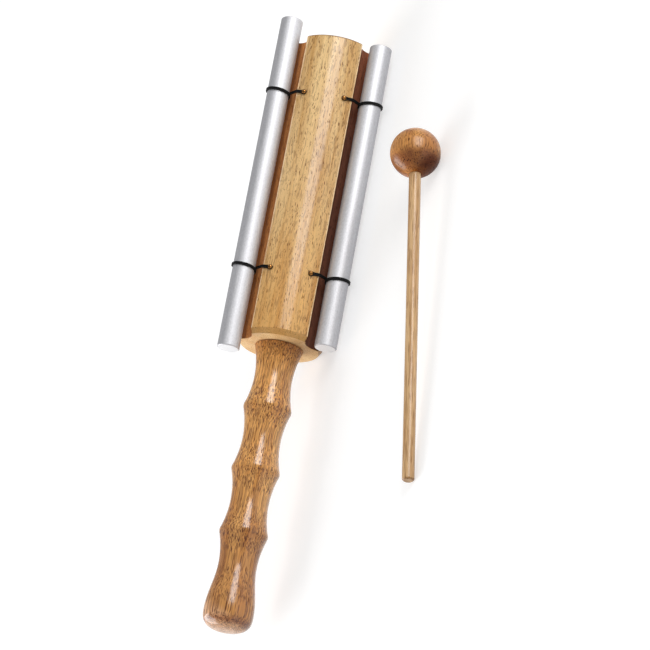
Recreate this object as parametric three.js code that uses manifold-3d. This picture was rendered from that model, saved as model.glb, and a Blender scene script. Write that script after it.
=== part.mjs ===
// Three-note hand chime with its ball mallet, in millimetres.
// A fluted wooden body sits on a turned handle. Three solid bars hang over its flutes, each in two
// elastic loops that go once round it and hook over pins in the lobes on either side. The body's axis
// is Y, with its free end, the head, at Y = 0 and the handle towards -Y. Z is up from the floor that
// the chime and mallet lie on.

import * as THREE from "three";
import { mergeVertices } from "three/addons/utils/BufferGeometryUtils.js";
import Module from "manifold-3d";

// Fits
const seatGap = 0.25; // between a piece and what it seats on or passes
const glueGap = 0.3; // round and under a glued tenon or stick
const overrun = 1; // how far a cutter runs past the face that it opens

// Body
const bodyLength = 153;
const bodyRadius = 20.2;
const fluteRadius = 8;
const fluteDepth = 4.4;
const headBevel = 0.8;
const tailBevelLength = 2.5;
const tailBevelDepth = 1.6;
const lobes = 3;

// Bars
const barDiameter = 10.5;
const barBevel = 0.4;
const barStandoff = 0.15; // between the body's round and a bar's inner side
const lowBarLength = 169;
const midBarLength = 154;
const highBarLength = 142;
const barsBehindCords = 1.5; // how far the bars' middles lie behind the middle of the cords

// Cords. Each is an endless loop, drawn out double between its two pins
const cordDiameter = 0.7;
const strandGap = 0.42; // between the two strands of a doubled loop
const pairGap = 0.78; // between the doubled strands where they pass each other under a bar
const hookTaperShare = 0.6; // of the way from a pin to its flute, where the strands draw together
const firstCordFromHead = 30.7;
const cordPitch = 90;

// Pins
const pinFromLobeMiddle = 9.3;
const pinShankDiameter = 0.9;
const pinShankLength = 9;
const pinPointLength = 1.5;
const pinHeadDiameter = 2.2;
const pinHeadHeight = 0.9;

// Handle
const handleLength = 138;
const scallopPitch = 30.5;
const fullScallops = 3;
const ridgeDiameter = 23;
const neckDiameter = 17.8;
const pommelDiameter = 23.2;
const pommelSwell = 22.5; // from the last neck to the pommel's widest place
const pommelSquareness = 2.8; // 2 is an elliptic end, and more is squarer
const tenonDiameter = 12.5;
const tenonLength = 25;
const tenonBevel = 1.2;

// Mallet
const ballDiameter = 23.2;
const stickDiameter = 5.5;
const malletLength = 176;
const stickDepth = 14;
const stickBevel = 0.6;
const ballAside = 86; // from the body's axis to the ball's middle
const ballFromHead = 74.5;
const malletTurn = 11; // degrees between the stick and the body's axis

// Looks
const maple = { color: 0xc9a877, roughness: 0.5, metalness: 0 };
const brownHandle = { color: 0xa9743f, roughness: 0.42, metalness: 0 };
const paleStick = { color: 0xd2ad7c, roughness: 0.5, metalness: 0 };
const ballWood = { color: 0xb07a45, roughness: 0.45, metalness: 0 };
const aluminium = { color: 0xc9cacc, roughness: 0.3, metalness: 1 };
const brass = { color: 0xc79a3c, roughness: 0.3, metalness: 1 };
const blackElastic = { color: 0x121212, roughness: 0.85, metalness: 0 };

// Facets. The lobes have an odd number, so that each rests on a flat one
const lobeSteps = 13;
const fluteSteps = 10;
const blankSides = 96;
const socketSides = 24;
const barSides = 32;
const cordSides = 6;
const wrapSteps = 20;
const lobeCordSteps = 4;
const hookSteps = 6;
const pinSides = 10;
const headSteps = 4;
const handleSides = 36;
const scallopSteps = 6;
const pommelSteps = 6;
const ballSides = 28;
const ballSteps = 12;
const stickSides = 16;
const weldShare = 1e-4; // of a cord's diameter

const bodyLobeTurn = (2 * Math.PI) / lobes;
const barRadius = barDiameter / 2;
const cordRadius = cordDiameter / 2;
const pinRadius = pinShankDiameter / 2;
const tenonRadius = tenonDiameter / 2;
const ballRadius = ballDiameter / 2;
const stickRadius = stickDiameter / 2;
const barAxisRadius = bodyRadius + barStandoff + barRadius;
const cordAxisRadius = bodyRadius + seatGap + cordRadius; // where a cord lies on a lobe
const wrapRadius = barRadius + seatGap + cordRadius; // and round a bar
const hookRadius = pinRadius + seatGap + cordRadius; // and round a pin
const strandPitch = cordDiameter + strandGap;
const pairPitch = strandPitch + cordDiameter + pairGap;
const pinHeadSeat = bodyRadius + seatGap + cordDiameter + seatGap;

// The chime lies on its lowest lobe, or on the pin heads there where they reach below it
const pinLean = Math.asin(pinFromLobeMiddle / bodyRadius);
const pinHeadReach = Math.hypot(
  pinHeadHeight * Math.cos(pinLean),
  (pinHeadDiameter / 2) * Math.sin(pinLean),
);
const pinAngle = bodyLobeTurn / 2 - pinLean; // from the bar
const floorDepth = Math.max(bodyRadius, pinHeadSeat * Math.cos(pinLean) + pinHeadReach);

// A flute's circle crosses the body's round at this angle on either side of the bar
const fluteAxisRadius = bodyRadius - fluteDepth + fluteRadius;
const fluteHalfAngle = Math.acos(
  (bodyRadius ** 2 + fluteAxisRadius ** 2 - fluteRadius ** 2) / (2 * bodyRadius * fluteAxisRadius),
);

// Each bar's turn about the body's axis, and which way its cords climb round it
const slings = [
  { note: "low", length: lowBarLength, turn: 0, climb: -1 },
  { note: "mid", length: midBarLength, turn: bodyLobeTurn, climb: 1 },
  { note: "high", length: highBarLength, turn: -bodyLobeTurn, climb: -1 },
];
const levels = [
  { place: "head", y: -firstCordFromHead },
  { place: "tail", y: -firstCordFromHead - cordPitch },
];
const sides = [
  { letter: "a", sign: 1 },
  { letter: "b", sign: -1 },
];

const wasm = await Module();
wasm.setup();

function toSolid(geometry) {
  const bare = geometry.clone();
  bare.deleteAttribute("normal");
  bare.deleteAttribute("uv");
  const welded = mergeVertices(bare, weldShare * cordDiameter);
  return new wasm.Manifold(
    new wasm.Mesh({
      numProp: 3,
      vertProperties: Float32Array.from(welded.attributes.position.array),
      triVerts: Uint32Array.from(welded.index.array),
    }),
  );
}

function toGeometry(solid) {
  const mesh = solid.getMesh();
  const geometry = new THREE.BufferGeometry();
  geometry.setAttribute("position", new THREE.BufferAttribute(Float32Array.from(mesh.vertProperties), 3));
  geometry.setIndex(new THREE.BufferAttribute(Uint32Array.from(mesh.triVerts), 1));
  geometry.computeVertexNormals();
  return geometry;
}

function addMesh(parent, name, geometry, look) {
  const mesh = new THREE.Mesh(geometry, new THREE.MeshStandardMaterial(look));
  mesh.name = name;
  parent.add(mesh);
  return mesh;
}

// A solid of revolution about Y, from [radius, height] pairs that start and end on the axis
function turned(profile, turnSides) {
  return new THREE.LatheGeometry(
    profile.map(([radius, y]) => new THREE.Vector2(radius, y)),
    turnSides,
  );
}

function arc(centre, radius, from, to, steps) {
  return Array.from({ length: steps + 1 }, (unused, k) => {
    const angle = from + ((to - from) * k) / steps;
    return new THREE.Vector2(Math.cos(angle), Math.sin(angle)).multiplyScalar(radius).add(centre);
  });
}

// The lobes' arcs joined by the flutes' arcs, with the first flute straight up
function bodySection() {
  const axis = new THREE.Vector2();
  const fluteSweep = Math.atan2(
    bodyRadius * Math.sin(fluteHalfAngle),
    fluteAxisRadius - bodyRadius * Math.cos(fluteHalfAngle),
  );
  const outline = [];
  for (let i = 0; i < lobes; i += 1) {
    const flute = Math.PI / 2 + i * bodyLobeTurn;
    const next = flute + bodyLobeTurn;
    outline.push(...arc(axis, bodyRadius, flute + fluteHalfAngle, next - fluteHalfAngle, lobeSteps));
    const centre = new THREE.Vector2(Math.cos(next), Math.sin(next)).multiplyScalar(fluteAxisRadius);
    const floor = next + Math.PI;
    outline.push(
      ...arc(centre, fluteRadius, floor + fluteSweep, floor - fluteSweep, fluteSteps).slice(1, -1),
    );
  }
  return new THREE.Shape(outline);
}

// The turned blank that gives the body its ends: a small bevel at the head, a long one at the tail
function bodyBlank() {
  const outer = bodyRadius + overrun;
  const tailSlope = tailBevelLength / tailBevelDepth;
  return turned(
    [
      [0, -bodyLength],
      [bodyRadius - tailBevelDepth, -bodyLength],
      [outer, -bodyLength + (tailBevelDepth + overrun) * tailSlope],
      [outer, -headBevel - overrun],
      [bodyRadius - headBevel, 0],
      [0, 0],
    ],
    blankSides,
  );
}

function pinHole(turn, y) {
  const depth = pinShankLength + seatGap;
  const top = pinHeadSeat + overrun;
  const bottom = pinHeadSeat - depth;
  const hole = new THREE.CylinderGeometry(
    pinRadius + seatGap,
    pinRadius + seatGap,
    top - bottom,
    pinSides,
  );
  hole.rotateX(Math.PI / 2);
  hole.translate(0, y, (top + bottom) / 2);
  hole.rotateY(turn);
  return toSolid(hole);
}

function body() {
  const prism = new THREE.ExtrudeGeometry(bodySection(), {
    depth: bodyLength + 2 * overrun,
    bevelEnabled: false,
  });
  prism.translate(0, 0, -overrun);
  prism.rotateX(Math.PI / 2);
  let solid = toSolid(prism).intersect(toSolid(bodyBlank()));
  const socketDepth = tenonLength + glueGap;
  const socket = new THREE.CylinderGeometry(
    tenonRadius + glueGap,
    tenonRadius + glueGap,
    socketDepth + overrun,
    socketSides,
  );
  socket.translate(0, -bodyLength + (socketDepth - overrun) / 2, 0);
  solid = solid.subtract(toSolid(socket));
  for (const sling of slings) {
    for (const level of levels) {
      for (const side of sides) {
        solid = solid.subtract(pinHole(sling.turn + side.sign * pinAngle, level.y));
      }
    }
  }
  return toGeometry(solid);
}

function bar(length) {
  const half = length / 2;
  return turned(
    [
      [0, -half],
      [barRadius - barBevel, -half],
      [barRadius, -half + barBevel],
      [barRadius, half - barBevel],
      [barRadius - barBevel, half],
      [0, half],
    ],
    barSides,
  );
}

// A round-head pin along Y, with its head's underside at zero and its point towards -Y
function pin() {
  const head = Array.from({ length: headSteps }, (unused, k) => {
    const angle = (Math.PI / 2) * (k / headSteps);
    return [(pinHeadDiameter / 2) * Math.cos(angle), pinHeadHeight * Math.sin(angle)];
  });
  return turned(
    [
      [0, -pinShankLength],
      [pinRadius, -pinShankLength + pinPointLength],
      [pinRadius, 0],
      ...head,
      [0, pinHeadHeight],
    ],
    pinSides,
  );
}

// A closed path whose equal steps fall on its own points, so that tight turns can have more of them
class LoopPath extends THREE.Curve {
  constructor(points) {
    super();
    this.points = points;
  }

  at(i) {
    const count = this.points.length;
    return this.points[(i + count) % count];
  }

  getPoint(share, target = new THREE.Vector3()) {
    const along = share * this.points.length;
    const i = Math.floor(along);
    return target.lerpVectors(this.at(i), this.at(i + 1), along - i);
  }

  getPointAt(share, target) {
    return this.getPoint(share, target);
  }

  getTangentAt(share, target = new THREE.Vector3()) {
    const i = Math.round(share * this.points.length);
    return target.subVectors(this.at(i + 1), this.at(i - 1)).normalize();
  }
}

// The angle, from straight down, at which a straight strand from the lobe's edge meets the wrap
function wrapStartAngle() {
  const dx = cordAxisRadius * Math.sin(fluteHalfAngle);
  const dz = cordAxisRadius * Math.cos(fluteHalfAngle) - barAxisRadius;
  return Math.atan2(dx, -dz) - Math.acos(wrapRadius / Math.hypot(dx, dz));
}

// The line midway between a loop's two strands, from the pin on the +X lobe over the lobe's edge,
// once round the bar and down to the other pin. The bar is straight above the body's axis. Each
// point comes with how far to either side of it the strands lie.
function loopMidline(climb) {
  const half = [];
  for (let k = 0; k <= lobeCordSteps; k += 1) {
    const share = k / lobeCordSteps;
    const angle = THREE.MathUtils.lerp(pinAngle, fluteHalfAngle, share);
    const y = climb * (pairPitch / 2) * (angle / pinAngle - 1);
    const together = THREE.MathUtils.smoothstep(share, 0, hookTaperShare);
    half.push({
      point: new THREE.Vector3(cordAxisRadius * Math.sin(angle), y, cordAxisRadius * Math.cos(angle)),
      spread: THREE.MathUtils.lerp(hookRadius, strandPitch / 2, together),
    });
  }
  const wrap = [];
  const start = wrapStartAngle();
  const end = -start - 2 * Math.PI;
  for (let k = 0; k <= wrapSteps; k += 1) {
    const share = k / wrapSteps;
    const angle = THREE.MathUtils.lerp(start, end, share);
    const x = wrapRadius * Math.sin(angle);
    const y = climb * pairPitch * (share - 1 / 2);
    const z = barAxisRadius - wrapRadius * Math.cos(angle);
    wrap.push({ point: new THREE.Vector3(x, y, z), spread: strandPitch / 2 });
  }
  const otherHalf = half.map(({ point, spread }) => ({
    point: new THREE.Vector3(-point.x, -point.y, point.z),
    spread,
  }));
  return [...half, ...wrap, ...otherHalf.reverse()];
}

// The loop's end round the pin on the lobe of one side, from the +Y strand to the -Y one
function hook(side) {
  const centre = new THREE.Vector3(side * Math.sin(pinAngle), 0, Math.cos(pinAngle));
  centre.multiplyScalar(cordAxisRadius);
  const away = new THREE.Vector3(side * Math.cos(pinAngle), 0, -Math.sin(pinAngle));
  const points = [];
  for (let k = 1; k < hookSteps; k += 1) {
    const angle = Math.PI * (k / hookSteps);
    const point = centre.clone().addScaledVector(away, hookRadius * Math.sin(angle));
    point.y += hookRadius * Math.cos(angle);
    points.push(point);
  }
  return points;
}

// Out along the +Y strand, round the far pin, back along the -Y strand and round the near pin
function loopPoints(climb) {
  const midline = loopMidline(climb);
  const strands = [1, -1].map((side) =>
    midline.map(({ point, spread }, i) => {
      const before = midline[Math.max(i - 1, 0)].point;
      const after = midline[Math.min(i + 1, midline.length - 1)].point;
      const along = new THREE.Vector3().subVectors(after, before).normalize();
      const aside = new THREE.Vector3(0, 1, 0).projectOnPlane(along).normalize();
      return point.clone().addScaledVector(aside, side * spread);
    }),
  );
  return [...strands[0], ...hook(-1), ...strands[1].reverse(), ...hook(1).reverse()];
}

function cord(points) {
  return new THREE.TubeGeometry(new LoopPath(points), points.length, cordRadius, cordSides, true);
}

// The least clear distance between stretches of a loop that lie more than a few diameters apart
function leastGap(points) {
  const lengths = [0];
  for (let i = 1; i <= points.length; i += 1) {
    lengths.push(lengths[i - 1] + points[i % points.length].distanceTo(points[i - 1]));
  }
  const whole = lengths[points.length];
  let least = Infinity;
  for (let i = 0; i < points.length; i += 1) {
    for (let j = i + 1; j < points.length; j += 1) {
      const between = lengths[j] - lengths[i];
      if (Math.min(between, whole - between) > Math.PI * cordDiameter) {
        least = Math.min(least, points[i].distanceTo(points[j]) - cordDiameter);
      }
    }
  }
  return least;
}

// One finger scallop is an arc as deep as the ridges stand over the neck
function scallopRadius(fromNeck) {
  const depth = (ridgeDiameter - neckDiameter) / 2;
  const arcRadius = ((scallopPitch / 2) ** 2 + depth ** 2) / (2 * depth);
  return neckDiameter / 2 + arcRadius - Math.sqrt(arcRadius ** 2 - fromNeck ** 2);
}

// The handle below its shoulder: scallops, a last neck, the pommel's swell and its rounded end
function gripProfile() {
  const profile = [];
  const lastNeck = (fullScallops + 1 / 2) * scallopPitch;
  const scallopPoints = (fullScallops + 1 / 2) * scallopSteps;
  for (let k = 0; k < scallopPoints; k += 1) {
    const along = (k / scallopSteps) * scallopPitch;
    const neck = (Math.floor(k / scallopSteps) + 1 / 2) * scallopPitch;
    profile.push([scallopRadius(along - neck), -along]);
  }
  for (let k = 0; k < pommelSteps; k += 1) {
    const share = k / pommelSteps;
    const rise = (1 - Math.cos(Math.PI * share)) / 2;
    const radius = THREE.MathUtils.lerp(neckDiameter, pommelDiameter, rise) / 2;
    profile.push([radius, -lastNeck - share * pommelSwell]);
  }
  const widest = lastNeck + pommelSwell;
  for (let k = 0; k < pommelSteps; k += 1) {
    const angle = (Math.PI / 2) * (k / pommelSteps);
    const radius = (pommelDiameter / 2) * Math.cos(angle) ** (2 / pommelSquareness);
    const along = (handleLength - widest) * Math.sin(angle) ** (2 / pommelSquareness);
    profile.push([radius, -widest - along]);
  }
  profile.push([0, -handleLength]);
  return profile;
}

function handle() {
  const profile = [
    [0, tenonLength],
    [tenonRadius - tenonBevel, tenonLength],
    [tenonRadius, tenonLength - tenonBevel],
    [tenonRadius, 0],
    ...gripProfile(),
  ];
  return turned(profile.reverse(), handleSides);
}

function malletBall(boreEnd) {
  const boreRadius = stickRadius + glueGap;
  const mouth = Math.asin(boreRadius / ballRadius);
  const round = arc(new THREE.Vector2(), ballRadius, mouth - Math.PI / 2, Math.PI / 2, ballSteps);
  return turned(
    [
      [0, boreEnd],
      [boreRadius, boreEnd],
      ...round.slice(0, -1).map((p) => [p.x, p.y]),
      [0, ballRadius],
    ],
    ballSides,
  );
}

function malletStick(top, bottom) {
  return turned(
    [
      [0, bottom],
      [stickRadius - stickBevel, bottom],
      [stickRadius, bottom + stickBevel],
      [stickRadius, top],
      [0, top],
    ],
    stickSides,
  );
}

// One bar with its cords and pins, made straight above the body's axis and turned to its flute
function addSling(parent, sling) {
  const hanger = new THREE.Group();
  hanger.rotation.y = sling.turn;
  parent.add(hanger);
  const middle = -firstCordFromHead - cordPitch / 2 - barsBehindCords;
  addMesh(hanger, `${sling.note}_bar`, bar(sling.length), aluminium).position.set(0, middle, barAxisRadius);
  for (const level of levels) {
    const points = loopPoints(sling.climb);
    console.log(`least gap in cord_${sling.note}_${level.place}: ${leastGap(points).toFixed(2)} mm`);
    addMesh(hanger, `cord_${sling.note}_${level.place}`, cord(points), blackElastic).position.y = level.y;
    for (const side of sides) {
      const spot = new THREE.Group();
      spot.rotation.y = side.sign * pinAngle;
      spot.position.y = level.y;
      hanger.add(spot);
      const name = `brass_pin_${sling.note}_${level.place}_${side.letter}`;
      const mesh = addMesh(spot, name, pin(), brass);
      mesh.position.z = pinHeadSeat;
      mesh.rotation.x = Math.PI / 2;
    }
  }
}

// The mallet lies beside the chime on the same floor, on its ball and the end of its stick
function addMallet(parent) {
  const restLength = malletLength - ballRadius - stickBevel;
  const dip =
    Math.asin(ballRadius / Math.hypot(restLength, stickRadius)) - Math.atan2(stickRadius, restLength);
  const heading = new THREE.Group();
  heading.position.set(ballAside, -ballFromHead, ballRadius - floorDepth);
  heading.rotation.z = THREE.MathUtils.degToRad(malletTurn);
  parent.add(heading);
  const mallet = new THREE.Group();
  mallet.rotation.x = dip;
  heading.add(mallet);
  const boreEnd = stickDepth - ballRadius;
  addMesh(mallet, "mallet_ball", malletBall(boreEnd), ballWood);
  addMesh(mallet, "mallet_stick", malletStick(boreEnd - glueGap, ballRadius - malletLength), paleStick);
}

const group = new THREE.Group();
addMesh(group, "fluted_body", body(), maple);
addMesh(group, "handle", handle(), brownHandle).position.y = -bodyLength - seatGap;
for (const sling of slings) addSling(group, sling);
addMallet(group);

export default group;
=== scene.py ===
import math

import bpy
import numpy as np
from mathutils import Matrix, Vector


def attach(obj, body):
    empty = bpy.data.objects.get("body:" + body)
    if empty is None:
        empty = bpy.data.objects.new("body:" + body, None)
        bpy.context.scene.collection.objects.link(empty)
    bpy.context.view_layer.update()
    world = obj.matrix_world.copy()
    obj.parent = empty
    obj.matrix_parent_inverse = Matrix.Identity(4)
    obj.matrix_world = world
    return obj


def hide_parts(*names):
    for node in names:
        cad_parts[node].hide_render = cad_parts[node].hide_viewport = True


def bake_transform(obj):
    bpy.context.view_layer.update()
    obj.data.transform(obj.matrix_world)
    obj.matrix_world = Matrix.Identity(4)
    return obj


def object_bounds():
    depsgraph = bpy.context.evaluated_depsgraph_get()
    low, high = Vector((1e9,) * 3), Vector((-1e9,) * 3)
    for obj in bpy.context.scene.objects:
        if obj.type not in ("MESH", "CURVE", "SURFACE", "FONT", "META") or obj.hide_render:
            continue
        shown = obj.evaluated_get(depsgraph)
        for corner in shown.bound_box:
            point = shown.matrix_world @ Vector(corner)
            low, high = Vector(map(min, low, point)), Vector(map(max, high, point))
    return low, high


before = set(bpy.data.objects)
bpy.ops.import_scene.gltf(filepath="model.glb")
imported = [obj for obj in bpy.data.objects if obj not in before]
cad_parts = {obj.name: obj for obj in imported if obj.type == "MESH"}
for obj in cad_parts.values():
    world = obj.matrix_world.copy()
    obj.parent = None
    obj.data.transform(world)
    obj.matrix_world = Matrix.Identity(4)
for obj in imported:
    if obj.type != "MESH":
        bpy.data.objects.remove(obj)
cad_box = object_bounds()

MM = 0.001
floor_height = cad_box[0].z  # in metres, while the sizes below are in millimetres

# Body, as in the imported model
BODY_LENGTH = 153.0
BODY_RADIUS = 20.2
FLUTE_RADIUS = 8.0
FLUTE_DEPTH = 4.4
FLUTE_AXIS_RADIUS = BODY_RADIUS - FLUTE_DEPTH + FLUTE_RADIUS
HEAD_BEVEL = 0.8
TAIL_BEVEL_LENGTH = 2.5
TAIL_BEVEL_DEPTH = 1.6
BEVEL_EASE = 0.5  # rounding where a bevel meets the lobes
HEAD_FACE_EASE = 0.25  # rounding where the head's bevel meets its face
LOBES = 3
LOBE_EASE = 0.2  # rounding where a lobe meets a flute
PALE_EDGE_STRIP = 0.45  # paler strip along a lobe's edges, a painted highlight where the edge catches the light
END_EASE = 0.3  # rounding of the end faces' edges
SOCKET_RADIUS = 6.55
SOCKET_DEPTH = 25.3

# Steps along the body's section: half a flute, its rounded edge, the pale strip of painted
# highlight, half a lobe
FLUTE_STEPS = 10
EASE_STEPS = 4
PALE_EDGE_STEPS = 1
LOBE_STEPS = 16

# A face whose normal leans this far along the axis belongs to an end face, or to a bevel
FACE_SLOPE = 0.95
BEVEL_SLOPE = 0.5
BODY_PARTS = ("lobe", "flute", "edge", "shaded_flute", "sawn", "bevel")

# Handle
HANDLE_LENGTH = 138.0
HANDLE_GAP = 0.25  # between the body's tail and the handle's shoulder
SCALLOP_PITCH = 30.5
FULL_SCALLOPS = 3
RIDGE_RADIUS = 11.5
NECK_RADIUS = 8.9
POMMEL_RADIUS = 11.6
POMMEL_SWELL = 22.5
POMMEL_SQUARENESS = 2.8
POMMEL_STEPS = 32
RIDGE_EASE = 1.7
RIDGE_SAMPLES = 17
SHOULDER_INSET = 0.1
SHOULDER_BEVEL = 0.3
TENON_RADIUS = 6.25
TENON_LENGTH = 25.0
TENON_BEVEL = 1.2
HANDLE_STEP = 0.5
HANDLE_SIDES = 128
LAST_NECK = (FULL_SCALLOPS + 0.5) * SCALLOP_PITCH
WIDEST = LAST_NECK + POMMEL_SWELL

# Bars. Turn is round the body's axis, and climb is the way that the turns of its cords lean
BAR_RADIUS = 5.25
BAR_BEVEL = 0.4
BAR_BEVEL_EASE = 0.3
BAR_FACE_EASE = 0.15
BAR_FACE_SLOPE = 0.99
BAR_SIDES = 96
BAR_AXIS_RADIUS = 25.6
BARS_MIDDLE = -77.2
BARS = {
    "low": {"length": 169.0, "turn": 0.0, "climb": -1},
    "mid": {"length": 154.0, "turn": 120.0, "climb": 1},
    "high": {"length": 142.0, "turn": -120.0, "climb": -1},
}

# Cords
STRAND_RADIUS = 0.38
STRAND_GAP = 0.03  # between the two strands of a doubled cord
STRAND_SIDES = 12
STRAND_CREASE = 60.0
STRAND_FROM_MIDDLE = STRAND_RADIUS + STRAND_GAP / 2
STRAND_OVER_LOBE = BODY_RADIUS + STRAND_RADIUS
WRAP_RADIUS = BAR_RADIUS + STRAND_RADIUS
CORD_LEVELS = {"head": -30.7, "tail": -120.7}
PAIR_SPACING = 2.5  # between the doubled strands that pass each other under a bar
LOBE_SHIFT = 0.75  # share of a strand's sideways shift that it has made at the lobe's edge
HOOK_REACH = 2.6  # from a pin to where its two strands lie together
LOBE_POINTS = 25
STRAIGHT_STEPS = 32
WRAP_STEPS = 96
BIGHT_STEPS = 16
ROUTE_PASSES = 6
HOOK_PASSES = 3

# Pins
PIN_FROM_LOBE_MIDDLE = 9.3
PIN_SHANK_RADIUS = 0.45
PIN_SHANK_LENGTH = 9.0
PIN_TIP_LENGTH = 1.5
PIN_HEAD_RADIUS = 1.1
PIN_HEAD_HEIGHT = 0.9
PIN_HEAD_LIP = 0.12
PIN_HEAD_GAP = 0.08  # between a pin's head and the cord under it
PIN_DOME_SHARE = 0.93
PIN_DOME_STEPS = 13
PIN_SIDES = 32

# Mallet
BALL_RADIUS = 11.6
BALL_STEPS = 64
BALL_SIDES = 128
BORE_GAP = 0.12
STICK_RADIUS = 2.75
MALLET_LENGTH = 176.0
STICK_DEPTH = 14.0
STICK_BEVEL = 0.6
STICK_BEVEL_EASE = 0.5
STICK_END_EASE = 0.3
STICK_END_GAP = 0.3  # between the stick's end and the bottom of the ball's bore
STICK_SIDES = 64
BALL_PLACE = (86.0, -74.5)
MALLET_TURN = 11.0

# Camera, fitted to the outlines in the photograph
SENSOR_WIDTH = 36.0
LENS_PIXELS = 3500.0
FRAME_PIXELS = 650.0
AIM_FROM_HEAD = 107.649
CAMERA_DISTANCE = 1647.293
CAMERA_TURN = 25.7515  # round the body's axis, from +X towards +Z
CAMERA_TILT = 19.556
CAMERA_ROLL = 10.584
CAMERA_ASIDE = 13.538
CAMERA_BELOW = 31.316

# Floor, lights and world, with lengths in metres
FLOOR_REACH = 8.0
FLOOR_GAP = 0.0002
FLOOR_GREY = 0.62
FLOOR_GLOW = 0.5  # seen by the camera and in reflections only
LIGHT_TARGET = (0.03, -0.13, 0)
WORLD_AT_HORIZON = 0.42
WORLD_OVERHEAD = 0.48


# Helpers

def add_object(name, data):
    added = bpy.data.objects.new(name, data)
    bpy.context.scene.collection.objects.link(added)
    return added


def turned_about_y(angle):
    return Matrix.Rotation(angle, 4, "Y")


def corner_angle(side, other, opposite):
    """The angle between two sides of a triangle, from its three sides."""
    return math.acos((side**2 + other**2 - opposite**2) / (2 * side * other))


def mesh_object(name, verts, faces, crease=35.0):
    mesh = bpy.data.meshes.new(name)
    mesh.from_pydata([tuple(v) for v in verts], [], faces)
    mesh.transform(Matrix.Scale(MM, 4))
    mesh.polygons.foreach_set("use_smooth", [True] * len(mesh.polygons))
    mesh.set_sharp_from_angle(angle=math.radians(crease))
    mesh.update()
    return add_object(name, mesh)


def rounded(corners, steps=5):
    """A line of (x, y, radius) corners with each one rounded by its radius."""
    nearly_straight = math.radians(89.9)
    line = [np.array(corners[0][:2], float)]
    for before, corner, after in zip(corners, corners[1:], corners[2:]):
        here = np.array(corner[:2], float)
        to_before = np.array(before[:2], float) - here
        to_after = np.array(after[:2], float) - here
        to_before /= np.linalg.norm(to_before)
        to_after /= np.linalg.norm(to_after)
        half = math.acos(np.clip(to_before @ to_after, -1, 1)) / 2
        radius = corner[2]
        if radius == 0 or half > nearly_straight:
            line.append(here)
            continue
        middle = to_before + to_after
        centre = here + middle / np.linalg.norm(middle) * radius / math.sin(half)
        reach = radius / math.tan(half)
        start = here + to_before * reach - centre
        end = here + to_after * reach - centre
        sweep = math.acos(np.clip(start @ end / radius**2, -1, 1))
        for k in range(steps + 1):
            share = k / steps
            point = math.sin((1 - share) * sweep) * start + math.sin(share * sweep) * end
            line.append(centre + point / math.sin(sweep))
    line.append(np.array(corners[-1][:2], float))
    return line


def lathe(name, profile, sides):
    """A solid of revolution about Y, from (radius, y) points that start and end on the axis."""
    verts, rings, faces = [], [], []
    for radius, y in profile:
        if radius < 1e-6:
            rings.append([len(verts)])
            verts.append((0, y, 0))
            continue
        rings.append(list(range(len(verts), len(verts) + sides)))
        for k in range(sides):
            angle = 2 * math.pi * k / sides
            verts.append((radius * math.sin(angle), y, radius * math.cos(angle)))
    for low, high in zip(rings, rings[1:]):
        for k in range(sides):
            n = (k + 1) % sides
            if len(low) == 1:
                faces.append((low[0], high[n], high[k]))
            elif len(high) == 1:
                faces.append((low[k], low[n], high[0]))
            else:
                faces.append((low[k], low[n], high[n], high[k]))
    return mesh_object(name, verts, faces)


def strand_tubes(name, paths):
    """Strands along dense paths, with a UV map in turns round them and millimetres along them."""
    sides = STRAND_SIDES
    verts, faces, uvs = [], [], []
    for path in paths:
        path = np.array(path, float)
        tangents = np.gradient(path, axis=0)
        tangents /= np.linalg.norm(tangents, axis=1)[:, None]
        pieces = np.linalg.norm(np.diff(path, axis=0), axis=1)
        lengths = np.concatenate([[0], np.cumsum(pieces)])
        side = np.cross(tangents[0], (0.0, 1.0, 0.0))
        first = len(verts)
        for point, tangent in zip(path, tangents):
            side -= tangent * (side @ tangent)
            side /= np.linalg.norm(side)
            other = np.cross(tangent, side)
            for k in range(sides):
                angle = 2 * math.pi * k / sides
                out = side * math.cos(angle) + other * math.sin(angle)
                verts.append(point + STRAND_RADIUS * out)
        for i in range(len(path) - 1):
            for k in range(sides):
                n = (k + 1) % sides
                a, b = first + i * sides, first + (i + 1) * sides
                faces.append((a + k, a + n, b + n, b + k))
                u, v = k / sides, (k + 1) / sides
                here, there = lengths[i], lengths[i + 1]
                uvs += [(u, here), (v, here), (v, there), (u, there)]
        last = first + (len(path) - 1) * sides
        faces.append(tuple(first + k for k in reversed(range(sides))))
        faces.append(tuple(last + k for k in range(sides)))
        uvs += [(0, 0)] * (2 * sides)
    piece = mesh_object(name, verts, faces, STRAND_CREASE)
    layer = piece.data.uv_layers.new(name="along")
    layer.data.foreach_set("uv", np.array(uvs, np.float32).ravel())
    return piece


# Camera

def make_camera():
    turn, tilt, roll = (math.radians(a) for a in (CAMERA_TURN, CAMERA_TILT, CAMERA_ROLL))
    axis = Vector((0, 1, 0))
    across = Vector((math.sin(turn), 0, -math.cos(turn)))
    facing = Vector((math.cos(turn), 0, math.sin(turn)))
    upright = axis * math.cos(tilt) + facing * math.sin(tilt)
    back = facing * math.cos(tilt) - axis * math.sin(tilt)
    right = across * math.cos(roll) + upright * math.sin(roll)
    up = upright * math.cos(roll) - across * math.sin(roll)
    place = Vector((0, -AIM_FROM_HEAD, 0)) + right * CAMERA_ASIDE - up * CAMERA_BELOW
    place += back * CAMERA_DISTANCE
    data = bpy.data.cameras.new("camera")
    data.sensor_width = SENSOR_WIDTH
    data.lens = LENS_PIXELS / FRAME_PIXELS * SENSOR_WIDTH
    camera = add_object("camera", data)
    turned = Matrix((right, up, back)).transposed().to_4x4()
    camera.matrix_world = Matrix.Translation(place * MM) @ turned
    bpy.context.scene.camera = camera


# Body

def arc_points(centre, radius, start, end, steps):
    return [
        (centre[0] + radius * math.sin(a), centre[1] + radius * math.cos(a))
        for a in np.linspace(start, end, steps + 1)
    ]


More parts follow.
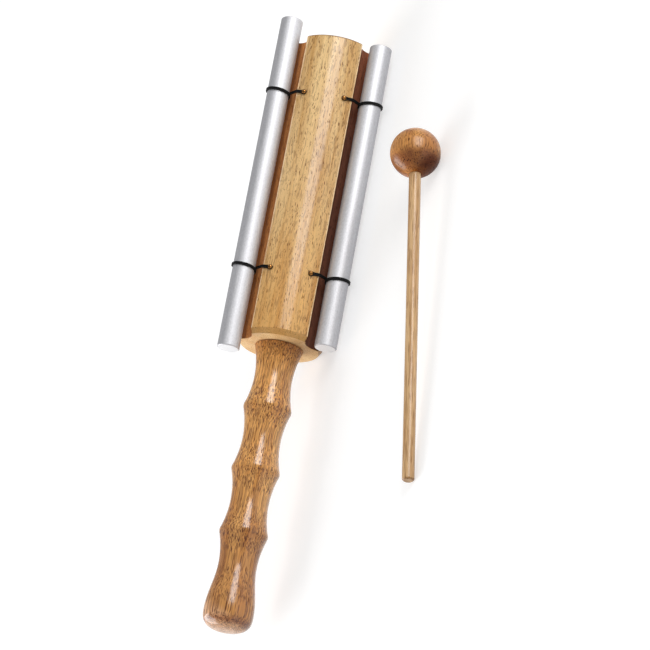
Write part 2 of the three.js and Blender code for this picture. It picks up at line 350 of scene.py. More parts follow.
def body_outline():
    """The section in (x, z), from the middle of the first flute round through +X."""
    inner = BODY_RADIUS - LOBE_EASE
    turn = corner_angle(inner, FLUTE_AXIS_RADIUS, FLUTE_RADIUS + LOBE_EASE)
    ease = np.array((inner * math.sin(turn), inner * math.cos(turn)))
    lean = math.atan2(ease[0], FLUTE_AXIS_RADIUS - ease[1])
    lobe_half = math.pi / LOBES
    pale_edge_end = turn + PALE_EDGE_STRIP / BODY_RADIUS
    third = arc_points((0, FLUTE_AXIS_RADIUS), -FLUTE_RADIUS, 0, -lean, FLUTE_STEPS)[:-1]
    third += arc_points(ease, LOBE_EASE, -lean, turn, EASE_STEPS)[:-1]
    third += arc_points((0, 0), BODY_RADIUS, turn, pale_edge_end, PALE_EDGE_STEPS)[:-1]
    third += arc_points((0, 0), BODY_RADIUS, pale_edge_end, lobe_half, LOBE_STEPS)
    mirrored = [
        (
            -x * math.cos(2 * lobe_half) + z * math.sin(2 * lobe_half),
            x * math.sin(2 * lobe_half) + z * math.cos(2 * lobe_half),
        )
        for x, z in reversed(third[1:-1])
    ]
    third = np.array(third + mirrored)
    outline = []
    for i in range(LOBES):
        angle = 2 * lobe_half * i
        c, s = math.cos(angle), math.sin(angle)
        outline.append(third @ np.array(((c, -s), (s, c))))
    return np.concatenate(outline)


def inset(outline, depth):
    along = np.roll(outline, -1, axis=0) - np.roll(outline, 1, axis=0)
    along /= np.linalg.norm(along, axis=1)[:, None]
    inward = np.stack([along[:, 1], -along[:, 0]], axis=1)
    inward *= -np.sign(np.sum(inward * outline, axis=1))[:, None]
    return outline + inward * depth


def body_part(index, count, slope):
    """The part of the body that a face belongs to. The first ring of faces lines the socket."""
    third = count // LOBES
    place = index % count % third
    step = min(place, third - 1 - place)
    flute = (index % count // third + (place > step)) % LOBES
    if index < count or slope > FACE_SLOPE:
        return "sawn"
    if slope > BEVEL_SLOPE:
        return "bevel"
    # The flutes' woods carry painted shade, lighter in the first flute than in the other two.
    if step < FLUTE_STEPS:
        return "flute" if flute == 0 else "shaded_flute"
    # The rounded edge and the strip beside it take the pale wood of the painted highlight.
    if step < FLUTE_STEPS + EASE_STEPS + PALE_EDGE_STEPS:
        return "edge"
    return "lobe"


def make_body():
    tail = rounded(
        [
            (SOCKET_RADIUS, -BODY_LENGTH, 0),
            (BODY_RADIUS - TAIL_BEVEL_DEPTH, -BODY_LENGTH, END_EASE),
            (BODY_RADIUS, -BODY_LENGTH + TAIL_BEVEL_LENGTH, BEVEL_EASE),
            (BODY_RADIUS, -BODY_LENGTH / 2, 0),
        ]
    )
    head = rounded(
        [
            (BODY_RADIUS, -BODY_LENGTH / 2, 0),
            (BODY_RADIUS, -HEAD_BEVEL, BEVEL_EASE),
            (BODY_RADIUS - HEAD_BEVEL, 0, HEAD_FACE_EASE),
            (0, 0, 0),
        ]
    )
    outline = body_outline()
    count = len(outline)
    verts, rings = [], []

    def add_ring(points, y):
        rings.append(len(verts))
        verts.extend((x, y, z) for x, z in points)

    circle = outline / np.linalg.norm(outline, axis=1)[:, None]
    add_ring(circle * SOCKET_RADIUS, -BODY_LENGTH + SOCKET_DEPTH)
    add_ring(circle * SOCKET_RADIUS, -BODY_LENGTH)
    for radius, y in tail[1:] + head[1:-1]:
        depth = min(y + BODY_LENGTH, -y)
        cut = 0.0
        if depth < END_EASE:
            cut = END_EASE - math.sqrt(END_EASE**2 - (END_EASE - depth) ** 2)
        ring = inset(outline, cut)
        reach = np.linalg.norm(ring, axis=1)
        ring *= np.minimum(1, radius / reach)[:, None]
        add_ring(ring, y)
    faces = []
    for low, high in zip(rings, rings[1:]):
        for k in range(count):
            n = (k + 1) % count
            faces.append((low + k, low + n, high + n, high + k))
    end = len(verts)
    verts.append((0, 0, 0))
    faces += [(rings[-1] + k, rings[-1] + (k + 1) % count, end) for k in range(count)]
    bottom = len(verts)
    verts.append((0, -BODY_LENGTH + SOCKET_DEPTH, 0))
    faces += [(rings[0] + (k + 1) % count, rings[0] + k, bottom) for k in range(count)]
    piece = mesh_object("turned_fluted_body", verts, faces, crease=38.0)
    for i, face in enumerate(piece.data.polygons):
        part = body_part(i, count, abs(face.normal.y))
        face.material_index = BODY_PARTS.index(part)
    return piece


# Handle

def raw_handle_radius(along):
    if along <= LAST_NECK:
        depth = RIDGE_RADIUS - NECK_RADIUS
        arc = ((SCALLOP_PITCH / 2) ** 2 + depth**2) / (2 * depth)
        from_neck = (along % SCALLOP_PITCH) - SCALLOP_PITCH / 2
        return NECK_RADIUS + arc - math.sqrt(arc**2 - from_neck**2)
    if along <= WIDEST:
        rise = (1 - math.cos(math.pi * (along - LAST_NECK) / POMMEL_SWELL)) / 2
        return NECK_RADIUS + (POMMEL_RADIUS - NECK_RADIUS) * rise
    left = min((along - WIDEST) / (HANDLE_LENGTH - WIDEST), 1.0)
    return POMMEL_RADIUS * (1 - left**POMMEL_SQUARENESS) ** (1 / POMMEL_SQUARENESS)


def handle_radius(along):
    """The turned radius, with the ridges between the scallops eased."""
    shares = np.linspace(-1, 1, RIDGE_SAMPLES)
    weights = 1 + np.cos(np.pi * shares)
    reach = min(RIDGE_EASE, along)
    radii = [raw_handle_radius(abs(along + s * reach)) for s in shares]
    return float(np.dot(weights, radii) / weights.sum())


def make_handle():
    top = -BODY_LENGTH - HANDLE_GAP
    profile = [(0, top - HANDLE_LENGTH)]
    for k in range(1, POMMEL_STEPS + 1):
        angle = math.pi / 2 * (1 - k / POMMEL_STEPS)
        cut = math.sin(angle) ** (2 / POMMEL_SQUARENESS)
        radius = POMMEL_RADIUS * math.cos(angle) ** (2 / POMMEL_SQUARENESS)
        profile.append((radius, top - WIDEST - (HANDLE_LENGTH - WIDEST) * cut))
    for along in np.arange(WIDEST - HANDLE_STEP, SHOULDER_BEVEL, -HANDLE_STEP):
        profile.append((handle_radius(along), top - along))
    shoulder = raw_handle_radius(0)
    profile += [
        (shoulder - SHOULDER_INSET, top - SHOULDER_BEVEL),
        (shoulder - (SHOULDER_INSET + SHOULDER_BEVEL), top),
        (TENON_RADIUS, top),
        (TENON_RADIUS, top + TENON_LENGTH - TENON_BEVEL),
        (TENON_RADIUS - TENON_BEVEL, top + TENON_LENGTH),
        (0, top + TENON_LENGTH),
    ]
    return lathe("turned_handle", profile, HANDLE_SIDES)


# Bars

def make_bar(note):
    half = BARS[note]["length"] / 2
    edge = BAR_RADIUS - BAR_BEVEL
    profile = rounded(
        [
            (0, -half, 0),
            (edge, -half, BAR_FACE_EASE),
            (BAR_RADIUS, -half + BAR_BEVEL, BAR_BEVEL_EASE),
            (BAR_RADIUS, half - BAR_BEVEL, BAR_BEVEL_EASE),
            (edge, half, BAR_FACE_EASE),
            (0, half, 0),
        ],
        steps=4,
    )
    piece = lathe(f"{note}_bar_turned", profile, BAR_SIDES)
    for face in piece.data.polygons:
        if abs(face.normal.y) > BAR_FACE_SLOPE:
            face.material_index = 1
    turn = turned_about_y(math.radians(BARS[note]["turn"]))
    middle = Vector((0, BARS_MIDDLE, BAR_AXIS_RADIUS)) * MM
    piece.matrix_world = turn @ Matrix.Translation(middle)
    return piece


# Cords. Each is an elastic loop, hooked over a pin at either end and doubled round its bar

FLUTE_HALF_ANGLE = corner_angle(BODY_RADIUS, FLUTE_AXIS_RADIUS, FLUTE_RADIUS)
PIN_ANGLE = math.pi / LOBES - math.asin(PIN_FROM_LOBE_MIDDLE / BODY_RADIUS)


def eased(points, passes):
    points = np.array(points, float)
    for _ in range(passes):
        points[1:-1] = (points[:-2] + 2 * points[1:-1] + points[2:]) / 4
    return points


def wrap_start():
    """The angle from straight down at which a straight strand from the lobe meets the bar."""
    dx = STRAND_OVER_LOBE * math.sin(FLUTE_HALF_ANGLE)
    dz = STRAND_OVER_LOBE * math.cos(FLUTE_HALF_ANGLE) - BAR_AXIS_RADIUS
    return math.atan2(dx, -dz) - math.acos(WRAP_RADIUS / math.hypot(dx, dz))


def wrap_midline(climb):
    """From where a cord meets the bar on the +X side, once round the bar."""
    start = wrap_start()
    end = -start - 2 * math.pi
    points = []
    for share in np.linspace(0, 1, WRAP_STEPS + 1):
        angle = start + (end - start) * share
        x = WRAP_RADIUS * math.sin(angle)
        z = BAR_AXIS_RADIUS - WRAP_RADIUS * math.cos(angle)
        points.append((x, climb * PAIR_SPACING * (share - 0.5), z))
    return points


def strand_midline(climb):
    """From the pin on the +X lobe, over the lobe's edge and straight to the bar."""
    last = wrap_midline(climb)[0]
    shift = last[1] * LOBE_SHIFT
    points = []
    for angle in np.linspace(PIN_ANGLE, FLUTE_HALF_ANGLE, LOBE_POINTS):
        y = shift * (PIN_ANGLE - angle) / (PIN_ANGLE - FLUTE_HALF_ANGLE)
        points.append((STRAND_OVER_LOBE * math.sin(angle), y, STRAND_OVER_LOBE * math.cos(angle)))
    corner = np.array(points[-1])
    for share in np.linspace(0, 1, STRAIGHT_STEPS + 1)[1:]:
        points.append(tuple(corner + (np.array(last) - corner) * share))
    return eased(points, ROUTE_PASSES)


def doubled(midline, half_spacings):
    """The two strands that lie beside each other on either side of a midline."""
    midline = np.array(midline, float)
    tangents = np.gradient(midline, axis=0)
    tangents /= np.linalg.norm(tangents, axis=1)[:, None]
    aside = np.array((0.0, 1.0, 0.0)) - tangents * tangents[:, 1:2]
    aside /= np.linalg.norm(aside, axis=1)[:, None]
    half_spacings = np.broadcast_to(half_spacings, len(midline))[:, None]
    return midline + aside * half_spacings, midline - aside * half_spacings


def hooked_strands(midline):
    """One line down one strand, round the pin and back up the other."""
    hook = PIN_SHANK_RADIUS + STRAND_RADIUS
    travelled = np.linalg.norm(midline - midline[0], axis=1)
    near = np.clip(1 - travelled / HOOK_REACH, 0, 1)
    spacing = STRAND_FROM_MIDDLE + (hook - STRAND_FROM_MIDDLE) * near * near * (3 - 2 * near)
    upper, lower = doubled(midline, spacing)
    out = np.array((math.sin(PIN_ANGLE), 0, math.cos(PIN_ANGLE)))
    away = np.array((math.cos(PIN_ANGLE), 0, -math.sin(PIN_ANGLE)))
    centre = out * STRAND_OVER_LOBE
    bight = [
        centre + away * hook * math.sin(a) + np.array((0, hook * math.cos(a), 0))
        for a in np.linspace(0, math.pi, BIGHT_STEPS + 1)[1:-1]
    ]
    return eased(np.concatenate([upper[::-1], bight, lower]), HOOK_PASSES)


def make_cord(note, level):
    climb = BARS[note]["climb"]
    place = turned_about_y(math.radians(BARS[note]["turn"]))
    place = place @ Matrix.Translation((0, CORD_LEVELS[level] * MM, 0))
    midline = strand_midline(climb)
    name = f"elastic_{note}_{level}"
    wrap = strand_tubes(f"{name}_turn", doubled(wrap_midline(climb), STRAND_FROM_MIDDLE))
    wrap.matrix_world = place
    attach(wrap, f"{note}_note")
    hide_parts(f"cord_{note}_{level}")
    pieces = [wrap]
    flip = Matrix.Rotation(math.pi, 4, "Z")
    for letter, turn in (("a", Matrix.Identity(4)), ("b", flip)):
        strands = strand_tubes(f"{name}_{letter}", [hooked_strands(midline)])
        strands.matrix_world = place @ turn
        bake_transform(strands)
        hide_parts(f"cord_{note}_{level}")
        pieces.append(strands)
    return pieces


def make_pin(note, level, letter, sign):
    dome = [
        (PIN_HEAD_RADIUS * math.sin(a), PIN_HEAD_HEIGHT * math.cos(a))
        for a in np.linspace(0, math.pi / 2 * PIN_DOME_SHARE, PIN_DOME_STEPS + 1)
    ]
    under = [
        (0, -PIN_SHANK_LENGTH),
        (PIN_SHANK_RADIUS, -PIN_SHANK_LENGTH + PIN_TIP_LENGTH),
        (PIN_SHANK_RADIUS, 0),
        (PIN_HEAD_RADIUS - PIN_HEAD_LIP, 0),
    ]
    pin = lathe(f"pin_{note}_{level}_{letter}", under + dome[::-1], PIN_SIDES)
    turn = turned_about_y(math.radians(BARS[note]["turn"]) + sign * PIN_ANGLE)
    seat = BODY_RADIUS + 2 * STRAND_RADIUS + PIN_HEAD_GAP
    place = turn @ Matrix.Translation(Vector((0, CORD_LEVELS[level], seat)) * MM)
    pin.matrix_world = place @ Matrix.Rotation(math.pi / 2, 4, "X")
    return pin


# Mallet

def mallet_place():
    rest = MALLET_LENGTH - BALL_RADIUS - STICK_BEVEL
    dip = math.asin(BALL_RADIUS / math.hypot(rest, STICK_RADIUS))
    dip -= math.atan2(STICK_RADIUS, rest)
    x, y = BALL_PLACE
    place = Vector((x * MM, y * MM, floor_height + BALL_RADIUS * MM))
    turn = Matrix.Rotation(math.radians(MALLET_TURN), 4, "Z")
    return Matrix.Translation(place) @ turn @ Matrix.Rotation(dip, 4, "X")


def make_ball():
    bore = STICK_RADIUS + BORE_GAP
    mouth = math.asin(bore / BALL_RADIUS)
    bottom = STICK_DEPTH - BALL_RADIUS
    profile = [(0, bottom), (bore, bottom)]
    for angle in np.linspace(mouth, math.pi, BALL_STEPS + 1):
        radius = BALL_RADIUS * math.sin(angle) if angle < math.pi else 0
        profile.append((radius, -BALL_RADIUS * math.cos(angle)))
    piece = lathe("turned_ball", profile, BALL_SIDES)
    piece.matrix_world = mallet_place()
    return piece


def make_stick():
    end = BALL_RADIUS - MALLET_LENGTH
    top = STICK_DEPTH - BALL_RADIUS - STICK_END_GAP
    profile = rounded(
        [
            (0, end, 0),
            (STICK_RADIUS - STICK_BEVEL, end, STICK_END_EASE),
            (STICK_RADIUS, end + STICK_BEVEL, STICK_BEVEL_EASE),
            (STICK_RADIUS, top, 0),
            (0, top, 0),
        ]
    )
    piece = lathe("turned_stick", profile, STICK_SIDES)
    piece.matrix_world = mallet_place()
    return piece


# Materials

IN_MILLIMETRES = (1000, 1000, 1000)


class Nodes:
    """Short calls for the nodes of one material or world."""

    def __init__(self, tree):
        self.tree = tree

    def fill(self, node, inputs):
        """Links each input to a socket, or sets its value on the node itself."""
        for key, value in inputs.items():
            if isinstance(value, bpy.types.NodeSocket):
                self.tree.links.new(value, node.inputs[key])
            else:
                node.inputs[key].default_value = value

    def add(self, kind, inputs=None, **settings):
        node = self.tree.nodes.new(kind)
        for key, value in settings.items():
            setattr(node, key, value)
        self.fill(node, inputs or {})
        return node

    def math(self, operation, a, b=0.0):
        return self.add("ShaderNodeMath", {0: a, 1: b}, operation=operation).outputs[0]

    def blend(self, share, a, b, kind="MIX"):
        inputs = {"Factor": share, 6: a, 7: b}
        return self.add("ShaderNodeMix", inputs, data_type="RGBA", blend_type=kind).outputs[2]

    def tinted(self, colour, tone):
        return self.blend(1.0, colour, tone, "MULTIPLY")

    def remap(self, value, low, high, to_low=0.0, to_high=1.0):
        inputs = dict(enumerate((value, low, high, to_low, to_high)))
        return self.add("ShaderNodeMapRange", inputs, interpolation_type="SMOOTHSTEP").outputs[0]

    def coordinates(self, scale, offset=(0, 0, 0)):
        place = self.add("ShaderNodeTexCoord").outputs["Object"]
        inputs = {"Vector": place, "Scale": scale, "Location": offset}
        return self.add("ShaderNodeMapping", inputs).outputs[0]

    def noise(self, vector, detail, roughness=0.5, scale=1.0, output="Fac"):
        inputs = {"Vector": vector, "Scale": scale, "Detail": detail, "Roughness": roughness}
        return self.add("ShaderNodeTexNoise", inputs).outputs[output]

    def bump(self, height, strength, distance):
        inputs = {"Strength": strength, "Distance": distance, "Height": height}
        return self.add("ShaderNodeBump", inputs).outputs[0]


def srgb(r, g, b):
    """A colour written in 8-bit sRGB, as linear RGBA."""
    values = []
    for v in (r, g, b):
        v /= 255
        values.append(v / 12.92 if v <= 0.04045 else ((v + 0.055) / 1.055) ** 2.4)
    return (*values, 1.0)


def new_material(name):
    material = bpy.data.materials.new(name)
    material.use_nodes = True
    shader = material.node_tree.nodes["Principled BSDF"]
    return material, Nodes(material.node_tree), shader


# Shades give the wood's own tone along its length, and also painted shade and painted highlights;
# the painted ones are marked where they are used.
def shade(direction, start, end, tone, gloss=1.0):
    """A tone that sets in from start to end along a direction, in millimetres.

    Gloss is the share of the coat that is left where the tone is whole.
    """
    return direction, start, end, (*tone, 1), gloss


def wood(
    name, pale, mid, pore, dashes, streaks=(), end_tone=(1, 1, 1), coat=(1.0, 0.18), coat_ior=1.5,
    bands=(0.16, 0.012), fibres=(2.6, 0.82, 1.12), cut_from=0.15, cut_to=0.9,
    tip=(0.78, 0.98, 0.25), shades=(), wander=1.0, seed=0.0,
):
    """Varnished wood with its fibres along Y, in a pale and a middle tone with dark pores.

    Each layer of dashes is (width, length, size, darkness), and each of streaks is (spacing,
    length, share of the surface, darkness). The coat is (weight, roughness), the bands are
    (number across, number along) in a millimetre, and the fibres are (number in a millimetre,
    darkest, lightest). The colour turns towards end_tone from cut_from to cut_to, as the surface
    turns to face -Y and cuts across the fibres. The tip is (from, to, share of end_tone left).
    """
    material, n, shader = new_material(name)
    place = n.coordinates(IN_MILLIMETRES, offset=(seed, seed * 2, seed * 3))
    drift = n.noise(place, 2, scale=0.06, output="Color")
    inputs = {0: drift, 1: (wander, 0.0, wander), 2: place}
    bent = n.add("ShaderNodeVectorMath", inputs, operation="MULTIPLY_ADD").outputs[0]

    def stretched(across, along):
        inputs = {"Vector": bent, "Scale": (across, along, across)}
        return n.add("ShaderNodeMapping", inputs).outputs[0]

    band = n.noise(stretched(*bands), 3, 0.6)
    colour = n.blend(n.remap(band, 0.32, 0.68), srgb(*pale), srgb(*mid))
    fibre = n.noise(stretched(fibres[0], 0.05), 4, 0.65)
    level = n.remap(fibre, 0.25, 0.75, *fibres[1:])
    grey = n.add("ShaderNodeCombineColor", {0: level, 1: level, 2: level}).outputs[0]
    colour = n.tinted(colour, grey)

    own_place = n.coordinates(IN_MILLIMETRES)
    gloss = coat[0]
    for direction, start, end, tone, kept in shades:
        inputs = {0: own_place, 1: direction}
        reached = n.add("ShaderNodeVectorMath", inputs, operation="DOT_PRODUCT").outputs["Value"]
        colour = n.blend(n.remap(reached, start, end), colour, n.tinted(colour, tone))
        gloss = n.math("MULTIPLY", gloss, n.remap(reached, start, end, 1.0, kept))

    pores = 0.0
    for width, length, size, darkness in dashes:
        inputs = {"Vector": stretched(1 / width, 1 / length), "Scale": 1.0}
        cells = n.add("ShaderNodeTexVoronoi", inputs)
        pick = n.add("ShaderNodeSeparateColor", {0: cells.outputs["Color"]})
        reach = n.remap(pick.outputs[0], 0.0, 1.0, 0.3 * size, size)
        gone = n.math("DIVIDE", cells.outputs["Distance"], reach)
        mask = n.remap(gone, 0.65, 1.0, darkness, 0.0)
        mask = n.math("MULTIPLY", mask, n.remap(pick.outputs[1], 0.1, 0.9, 0.45, 1.0))
        pores = n.math("MAXIMUM", pores, mask)
    dark = pores
    for spacing, length, cover, darkness in streaks:
        line = n.noise(stretched(2 / spacing, 2 / length), 0)
        mask = n.remap(line, 0.72 - 0.4 * cover, 0.8 - 0.4 * cover, 0.0, darkness)
        dark = n.math("MAXIMUM", dark, mask)
    colour = n.blend(dark, colour, srgb(*pore))

    normal = n.add("ShaderNodeTexCoord").outputs["Normal"]
    facing = n.add("ShaderNodeSeparateXYZ", {0: normal}).outputs["Y"]
    cut = n.remap(facing, -cut_from, -cut_to)
    cut = n.math("MULTIPLY", cut, n.remap(facing, -tip[0], -tip[1], 1.0, tip[2]))
    colour = n.blend(cut, colour, n.tinted(colour, (*end_tone, 1)))

    height = n.math("SUBTRACT", n.math("MULTIPLY", fibre, 0.25), pores)
    relief = 0.06 * MM
    n.fill(shader, {
        "Base Color": colour,
        "Roughness": n.remap(pores, 0.0, 1.0, 0.5, 0.8),
        "Specular IOR Level": 0.1,
        "Coat Weight": n.math("MULTIPLY", gloss, n.remap(pores, 0.0, 1.0, 1.0, 0.2)),
        "Coat Roughness": coat[1],
        "Coat IOR": coat_ior,
        "Normal": n.bump(height, 0.35, relief),
        "Coat Normal": n.bump(height, 0.14, relief),
    })
    return material


def bar_side():
    """Drawn, lightly blasted and anodised, with painted shade darkening the side away from the
    body.
    """
    material, n, shader = new_material("aluminium_drawn")
    drawn = n.noise(n.coordinates((2600, 60, 2600)), 3, 0.6)
    blasted = n.noise(n.coordinates((1500, 1100, 1500)), 2, 0.6)
    texture = n.math("ADD", n.math("MULTIPLY", drawn, 0.4), n.math("MULTIPLY", blasted, 0.6))
    colour = n.blend(n.remap(texture, 0.3, 0.7), srgb(202, 202, 205), srgb(224, 224, 227))
    # Painted shade: darker towards each bar's outer side, away from the body.
    outward = n.add("ShaderNodeSeparateXYZ", {0: n.coordinates(IN_MILLIMETRES)}).outputs["Z"]
    shaded_outer_side = n.tinted(colour, (0.79, 0.79, 0.8, 1))
    n.fill(shader, {
        "Metallic": 0.8,
        "Base Color": n.blend(n.remap(outward, 3.5, 4.9), colour, shaded_outer_side),
        "Roughness": n.remap(texture, 0.2, 0.8, 0.54, 0.66),
        "Specular Tint": (0.35, 0.35, 0.36, 1),
        "Coat Weight": 0.45,
        "Coat Roughness": 0.25,
        "Coat IOR": 1.4,
        "Normal": n.bump(texture, 0.3, 0.02 * MM),
    })
    return material


def bar_end():
    """The sawn and faced ends, with fine turning rings."""
    material, n, shader = new_material("aluminium_faced")
    inputs = {"Vector": n.coordinates((1, 1, 1)), "Scale": 900.0, "Distortion": 0.6}
    rings = n.add("ShaderNodeTexWave", inputs, wave_type="RINGS", rings_direction="Y")
    rings = rings.outputs["Fac"]
    n.fill(shader, {
        "Metallic": 1.0,
        "Base Color": n.blend(rings, srgb(222, 223, 226), srgb(240, 240, 241)),
        "Roughness": n.remap(rings, 0.0, 1.0, 0.36, 0.5),
        "Normal": n.bump(rings, 0.2, 0.02 * MM),
    })
    return material


def braided_elastic():
    """Black yarn braided over rubber, drawn with the tube's own map of turns and millimetres."""
    material, n, shader = new_material("braided_elastic")
    yarns_around, yarn_pitch = 4, 0.8
    uv = n.add("ShaderNodeUVMap", uv_map="along").outputs[0]
    place = n.add("ShaderNodeSeparateXYZ", {0: uv})
    around = n.math("MULTIPLY", place.outputs[0], yarns_around * 2 * math.pi)
    along = n.math("MULTIPLY", place.outputs[1], 2 * math.pi / yarn_pitch)
    one = n.math("SINE", n.math("ADD", along, around))
    other = n.math("SINE", n.math("SUBTRACT", along, around))
    yarn = n.remap(n.math("MAXIMUM", one, other), -0.2, 1.0)
    n.fill(shader, {
        "Base Color": n.blend(yarn, srgb(4, 4, 5), srgb(20, 19, 20)),
        "Roughness": n.remap(yarn, 0.0, 1.0, 0.9, 0.6),
        "Specular IOR Level": 0.25,
        "Normal": n.bump(yarn, 0.8, 0.08 * MM),
    })
    return material


def pin_brass():
    """Brass with small tarnished spots."""
    material, n, shader = new_material("pin_brass")
    spots = n.noise(n.coordinates((1400, 1400, 1400)), 3)
    n.fill(shader, {
        "Metallic": 1.0,
        "Base Color": n.blend(n.remap(spots, 0.35, 0.7), srgb(176, 126, 70), srgb(104, 66, 30)),
        "Roughness": n.remap(spots, 0.3, 0.7, 0.16, 0.3),
    })
    return material


BODY_DASHES = [(0.66, 3.4, 0.35, 0.95), (0.5, 2.2, 0.3, 0.8), (0.42, 1.7, 0.28, 0.7)]
SAWN_GRAIN = {"dashes": BODY_DASHES, "seed": 5.0}
BODY_GRAIN = {**SAWN_GRAIN, "streaks": [(1.4, 9.0, 0.32, 0.35)], "end_tone": (0.86, 0.8, 0.68)}
body_woods = {
    "lobe": wood(
        "fine_pored_wood", (232, 194, 136), (200, 151, 86), (96, 50, 18),
        **BODY_GRAIN, coat=(0.95, 0.18),
        shades=[
            shade((0, -1, 0), 70.0, 150.0, (0.97, 0.83, 0.6)),
            shade((0, 1, 0), -75.0, -5.0, (1.0, 1.03, 1.05)),
        ],
    ),
    # Both flute woods are darker than the lobes: painted shade in the flutes. This first flute's
    # is the lighter one, where more light reaches.
    "flute": wood(
        "fine_pored_wood_in_flute", (192, 126, 70), (176, 112, 54), (90, 48, 24),
        **BODY_GRAIN, coat=(0.2, 0.3),
        # Painted shadow of the low bar along one side of this flute.
        shades=[shade((-1, 0, 0), 2.4, 4.2, (0.42, 0.36, 0.3))],
    ),
    # Paler wood on the rounded edges and the strip beside them: a painted highlight where the
    # edges catch the light.
    "edge": wood(
        "fine_pored_wood_edge_painted_highlight", (252, 222, 176), (248, 210, 156), (170, 122, 76),
        **BODY_GRAIN,
    ),
    # The other two flutes: deeper painted shade, lighter towards the head's open end.
    "shaded_flute": wood(
        "fine_pored_wood_in_shaded_flute", (118, 66, 42), (98, 52, 32), (56, 28, 16),
        **BODY_GRAIN, coat=(0.2, 0.3),
        shades=[shade((0, 1, 0), -50.0, -5.0, (1.7, 1.7, 1.5))],
    ),
    "sawn": wood(
        "fine_pored_wood_sawn_across", (250, 214, 160), (238, 192, 132), (170, 118, 70),
        **SAWN_GRAIN, coat=(0.2, 0.4),
    ),
    "bevel": wood(
        "fine_pored_wood_bevelled", (216, 168, 102), (206, 152, 84), (120, 76, 36),
        **SAWN_GRAIN, coat=(0.5, 0.3),
        # Painted shade on the head's bevel: darker and less glossy towards the head face.
        shades=[shade((0, 1, 0), -10.0, -3.0, (0.42, 0.4, 0.38), 0.2)],
    ),
}
handle_wood = wood(
    "open_grained_wood", (238, 178, 101), (206, 139, 62), (86, 38, 12),
    dashes=[(0.7, 18.0, 0.36, 1.0), (0.55, 8.0, 0.34, 1.0)],
    streaks=[(0.66, 70.0, 0.36, 0.88), (1.7, 90.0, 0.4, 0.35)],
    # The tip lifts the end tone off the pommel's end, part of its painted highlight.
    end_tone=(0.66, 0.5, 0.38), cut_from=0.12, cut_to=0.6, tip=(0.62, 0.9, 0.0),
    coat=(1.0, 0.17), coat_ior=1.6, fibres=(2.0, 0.72, 1.24), wander=0.3, seed=11.0,
    shades=[
        shade((0, -1, 0), 215.0, 265.0, (0.72, 0.64, 0.56)),
        # Painted highlight: paler round the lower rim of the pommel's end.
        shade((-0.3, -0.9, 0.35), 253.5, 260.5, (1.5, 1.9, 4.2)),
        # Painted shade just under the body's tail: a little darker, with less gloss.
        shade((0, 1, 0), -172.0, -156.0, (0.92, 0.88, 0.84), 0.4),
    ],
)
ball_wood = wood(
    "orange_wood", (206, 144, 74), (172, 107, 45), (58, 24, 6),
    dashes=[(0.9, 8.0, 0.38, 1.0), (0.62, 4.0, 0.38, 0.9), (0.5, 5.0, 0.4, 0.85)],
    streaks=[(0.8, 20.0, 0.32, 0.4)],
    # The end tone stands for the darker end grain, and partly for painted shade across the ball's
    # middle.
    end_tone=(0.46, 0.35, 0.27), cut_from=0.1, cut_to=0.5,
    coat=(0.9, 0.26), wander=0.5, seed=23.0,
    shades=[
        # Painted shade on the lower side away from the light: darker, with less gloss.
        shade((0.3, -0.85, -0.45), 6.5, 10.5, (0.54, 0.38, 0.26), 0.2),
        # Painted highlight: paler towards the lower side that faces the fill light.
        shade((-0.3, -0.75, 0.6), 6.5, 10.5, (1.8, 1.8, 1.75)),
    ],
)
stick_wood = wood(
    "straight_pale_wood", (216, 178, 130), (178, 134, 84), (124, 80, 40),
    dashes=[(0.6, 9.0, 0.34, 0.6)],
    streaks=[(0.9, 16.0, 0.35, 0.5)],
    end_tone=(0.8, 0.68, 0.52), coat=(0.8, 0.2), bands=(0.5, 0.02), wander=0.6, seed=37.0,
)
side_metal = bar_side()
end_metal = bar_end()
elastic = braided_elastic()
brass = pin_brass()


# Floor, lights and world

def make_floor():
    far = FLOOR_REACH
    mesh = bpy.data.meshes.new("floor")
    corners = [(-far, -far, 0), (far, -far, 0), (far, far, 0), (-far, far, 0)]
    mesh.from_pydata(corners, [], [(0, 1, 2, 3)])
    floor = add_object("floor", mesh)
    floor.location.z = floor_height - FLOOR_GAP
    material, n, shader = new_material("white_table")
    path = n.add("ShaderNodeLightPath").outputs
    seen = n.math("MAXIMUM", path["Is Camera Ray"], path["Is Glossy Ray"])
    seen = n.math("MAXIMUM", seen, path["Is Transmission Ray"])
    n.fill(shader, {
        "Base Color": (FLOOR_GREY, FLOOR_GREY, FLOOR_GREY, 1),
        "Roughness": 1.0,
        "Specular IOR Level": 0.0,
        "Emission Color": (1, 1, 1, 1),
        "Emission Strength": n.math("MULTIPLY", seen, FLOOR_GLOW),
    })
    mesh.materials.append(material)


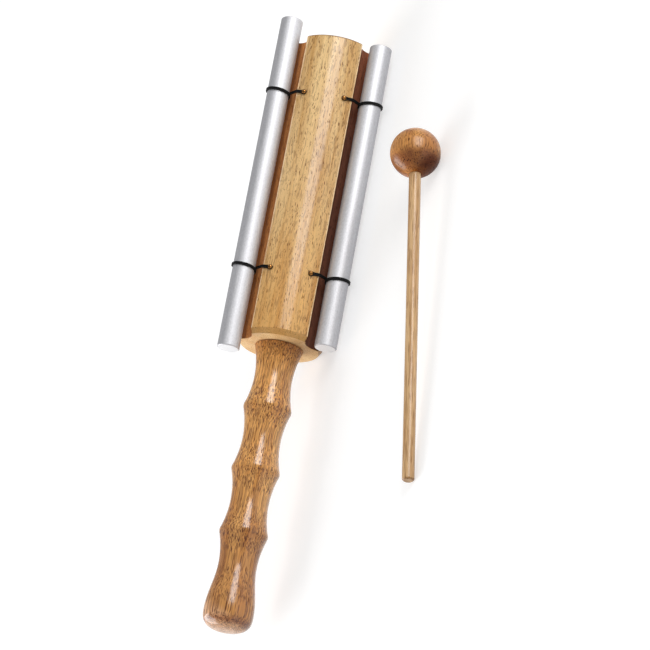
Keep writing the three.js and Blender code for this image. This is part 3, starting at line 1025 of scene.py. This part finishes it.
def softbox(name, direction, distance, width, length, level):
    """An area light that points at the target, with its length near the body's.

    Level is what it adds to a white surface that faces it.
    """
    data = bpy.data.lights.new(name, "AREA")
    data.shape = "RECTANGLE"
    data.size = width
    data.size_y = length
    data.energy = level * math.pi**2 * distance**2
    away = Vector(direction).normalized()
    lengthwise = (Vector((0, 1, 0)) - away * away.y).normalized()
    turned = Matrix((lengthwise.cross(away), lengthwise, away)).transposed().to_4x4()
    light = add_object(name, data)
    light.matrix_world = Matrix.Translation(Vector(LIGHT_TARGET) + away * distance) @ turned


def make_world():
    world = bpy.data.worlds.new("studio")
    world.use_nodes = True
    n = Nodes(world.node_tree)
    where = n.add("ShaderNodeTexCoord").outputs["Generated"]
    height = n.add("ShaderNodeSeparateXYZ", {0: where}).outputs["Z"]
    n.fill(world.node_tree.nodes["Background"], {
        "Color": (1, 1, 1, 1),
        "Strength": n.remap(height, 0.0, 0.95, WORLD_AT_HORIZON, WORLD_OVERHEAD),
    })
    bpy.context.scene.world = world


# The whole scene

def dress(piece, body, nodes, slot, *materials):
    for material in materials:
        piece.data.materials.append(material)
    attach(piece, body)
    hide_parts(*nodes)


make_camera()
woods = [body_woods[part] for part in BODY_PARTS]
dress(make_body(), "chime", ["fluted_body"], "body_wood", *woods)
dress(make_handle(), "chime", ["handle"], "handle_wood", handle_wood)
for note in BARS:
    dress(make_bar(note), f"{note}_note", [f"{note}_bar"], "bar_metal", side_metal, end_metal)
    for level in CORD_LEVELS:
        for piece in make_cord(note, level):
            piece.data.materials.append(elastic)
        for letter, sign in (("a", 1), ("b", -1)):
            pin = make_pin(note, level, letter, sign)
            dress(pin, "chime", [f"brass_pin_{note}_{level}_{letter}"], "pin_brass", brass)
dress(make_ball(), "mallet", ["mallet_ball"], "ball_wood", ball_wood)
dress(make_stick(), "mallet", ["mallet_stick"], "stick_wood", stick_wood)
make_floor()
softbox("key", (0.746, 0.602, 0.286), distance=1.3, width=0.62, length=1.0, level=0.72)
softbox("fill", (-0.7, -0.57, 0.4), distance=1.4, width=1.1, length=1.3, level=0.9)
make_world()
bpy.context.scene.view_settings.view_transform = "Standard"
